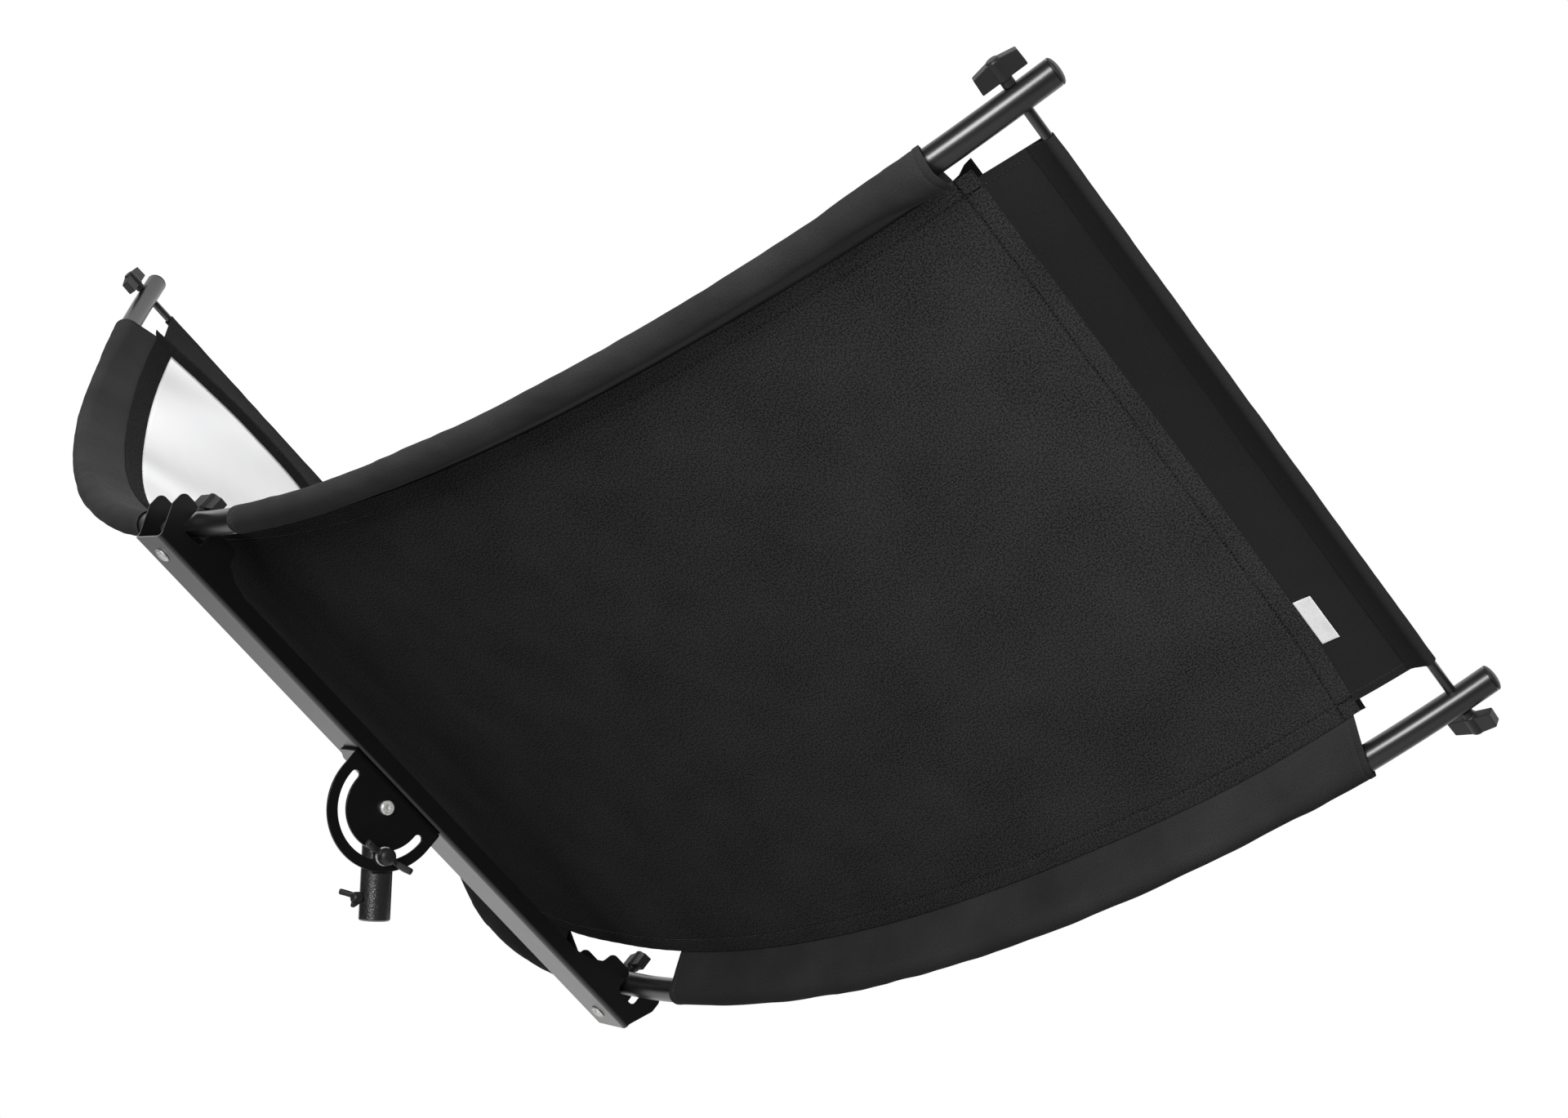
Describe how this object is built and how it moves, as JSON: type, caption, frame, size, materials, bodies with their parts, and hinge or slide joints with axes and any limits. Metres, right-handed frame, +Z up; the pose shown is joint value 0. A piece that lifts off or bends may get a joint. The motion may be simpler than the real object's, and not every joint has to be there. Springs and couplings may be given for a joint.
{
  "type": "curved collapsible reflector",
  "caption": "Curved reflector of stretched cloth, silver inside and charcoal knit outside, on two bent tubes in a channel with a slotted tilting plate and a stand socket.",
  "frame": {"origin": "centre of the socket's mouth, on the socket's axis", "axes": "+Z up along the socket, +X along the reflector's long way and the tilt axis, +Y to the side the hollow faces in the pictured pose"},
  "size_m": [1.6248, 0.782, 0.7641],
  "materials": {
    "cast_black": "hammered satin black paint on cast metal",
    "black_paint": "satin black paint",
    "black_tube": "satin black anodised",
    "black_plastic": "satin black",
    "zinc": "bright zinc plate",
    "spring_steel": "plain spring steel",
    "black_cloth": "fine black weave",
    "charcoal_knit": "speckled charcoal knit",
    "silver_cloth": "soft silver coating",
    "loop_pile": "black loop pile",
    "white_ribbon": "plain white ribbon"
  },
  "bodies": {
    "stand": {"stand_socket": "cast_black", "pivot_bolt": "zinc", "pivot_nut": "zinc", "lock_washer": "zinc"},
    "head": {"tilt_plate": "black_paint", "centre_channel": "black_paint", "back_panel": "charcoal_knit", "silver_panel": "silver_cloth", "side_tag": "white_ribbon", "foot_screw_upper": "zinc", "foot_nut_upper": "zinc", "saddle_bolt_upper": "zinc", "saddle_spacer_upper": "black_plastic", "centre_tube_upper": "black_tube", "binding_upper": "loop_pile", "outer_tube_upper_right": "black_tube", "end_cap_upper_right": "black_plastic", "sleeve_upper_right": "black_cloth", "outer_tube_upper_left": "black_tube", "end_cap_upper_left": "black_plastic", "sleeve_upper_left": "black_cloth", "foot_screw_lower": "zinc", "foot_nut_lower": "zinc", "saddle_bolt_lower": "zinc", "saddle_spacer_lower": "black_plastic", "centre_tube_lower": "black_tube", "binding_lower": "loop_pile", "outer_tube_lower_right": "black_tube", "end_cap_lower_right": "black_plastic", "sleeve_lower_right": "black_cloth", "outer_tube_lower_left": "black_tube", "end_cap_lower_left": "black_plastic", "sleeve_lower_left": "black_cloth", "cross_rod_right": "black_tube", "end_flap_right": "black_cloth", "binding_right": "loop_pile", "cross_rod_left": "black_tube", "end_flap_left": "black_cloth", "binding_left": "loop_pile"},
    "socket_thumbscrew": {"socket_thumbscrew": "black_plastic"},
    "tilt_lock_screw": {"tilt_lock_screw": "black_plastic"},
    "saddle_knob_upper": {"saddle_knob_upper": "black_plastic"},
    "snap_clip_upper_right": {"snap_clip_upper_right": "spring_steel"},
    "tip_knob_upper_right": {"tip_knob_upper_right": "black_plastic"},
    "snap_clip_upper_left": {"snap_clip_upper_left": "spring_steel"},
    "tip_knob_upper_left": {"tip_knob_upper_left": "black_plastic"},
    "saddle_knob_lower": {"saddle_knob_lower": "black_plastic"},
    "snap_clip_lower_right": {"snap_clip_lower_right": "spring_steel"},
    "tip_knob_lower_right": {"tip_knob_lower_right": "black_plastic"},
    "snap_clip_lower_left": {"snap_clip_lower_left": "spring_steel"},
    "tip_knob_lower_left": {"tip_knob_lower_left": "black_plastic"}
  },
  "joints": [
    {"name": "head_tilt", "type": "hinge", "parent": "stand", "child": "head", "pos_m": [0, 0, 0.1], "axis": [1, 0, 0], "range_deg": [-48, 111]},
    {"name": "tilt_lock_turn", "type": "hinge", "parent": "stand", "child": "tilt_lock_screw", "pos_m": [0.0148, 0, 0.0575], "axis": [1, 0, 0], "range_deg": [-360, 360]},
    {"name": "socket_thumbscrew_turn", "type": "hinge", "parent": "stand", "child": "socket_thumbscrew", "pos_m": [0, -0.0143, 0.02], "axis": [0, -1, 0], "range_deg": [-360, 360]},
    {"name": "saddle_knob_upper_turn", "type": "hinge", "parent": "head", "child": "saddle_knob_upper", "pos_m": [-0.013, -0.17873, 0.34424], "axis": [0, 0.6626, 0.749], "range_deg": [-360, 360]},
    {"name": "tip_knob_upper_right_turn", "type": "hinge", "parent": "head", "child": "tip_knob_upper_right", "pos_m": [0.77218, 0.06637, 0.63833], "axis": [0, -0.749, 0.6626], "range_deg": [-360, 360]},
    {"name": "tip_knob_upper_left_turn", "type": "hinge", "parent": "head", "child": "tip_knob_upper_left", "pos_m": [-0.79818, 0.06637, 0.63833], "axis": [0, -0.749, 0.6626], "range_deg": [-360, 360]},
    {"name": "saddle_knob_lower_turn", "type": "hinge", "parent": "head", "child": "saddle_knob_lower", "pos_m": [-0.013, 0.27065, -0.05333], "axis": [0, 0.6626, 0.749], "range_deg": [-360, 360]},
    {"name": "tip_knob_lower_right_turn", "type": "hinge", "parent": "head", "child": "tip_knob_lower_right", "pos_m": [0.77218, 0.53267, 0.22578], "axis": [0, 0.749, -0.6626], "range_deg": [-360, 360]},
    {"name": "tip_knob_lower_left_turn", "type": "hinge", "parent": "head", "child": "tip_knob_lower_left", "pos_m": [-0.79818, 0.53267, 0.22578], "axis": [0, 0.749, -0.6626], "range_deg": [-360, 360]},
    {"name": "snap_upper_right_press", "type": "slide", "parent": "head", "child": "snap_clip_upper_right", "axis": [0, 0.749, -0.6626], "range_m": [0, 0.0035], "stiffness_N_per_m": 400},
    {"name": "snap_upper_left_press", "type": "slide", "parent": "head", "child": "snap_clip_upper_left", "axis": [0, 0.749, -0.6626], "range_m": [0, 0.0035], "stiffness_N_per_m": 400},
    {"name": "snap_lower_right_press", "type": "slide", "parent": "head", "child": "snap_clip_lower_right", "axis": [0, -0.749, 0.6626], "range_m": [0, 0.0035], "stiffness_N_per_m": 400},
    {"name": "snap_lower_left_press", "type": "slide", "parent": "head", "child": "snap_clip_lower_left", "axis": [0, -0.749, 0.6626], "range_m": [0, 0.0035], "stiffness_N_per_m": 400}
  ]
}
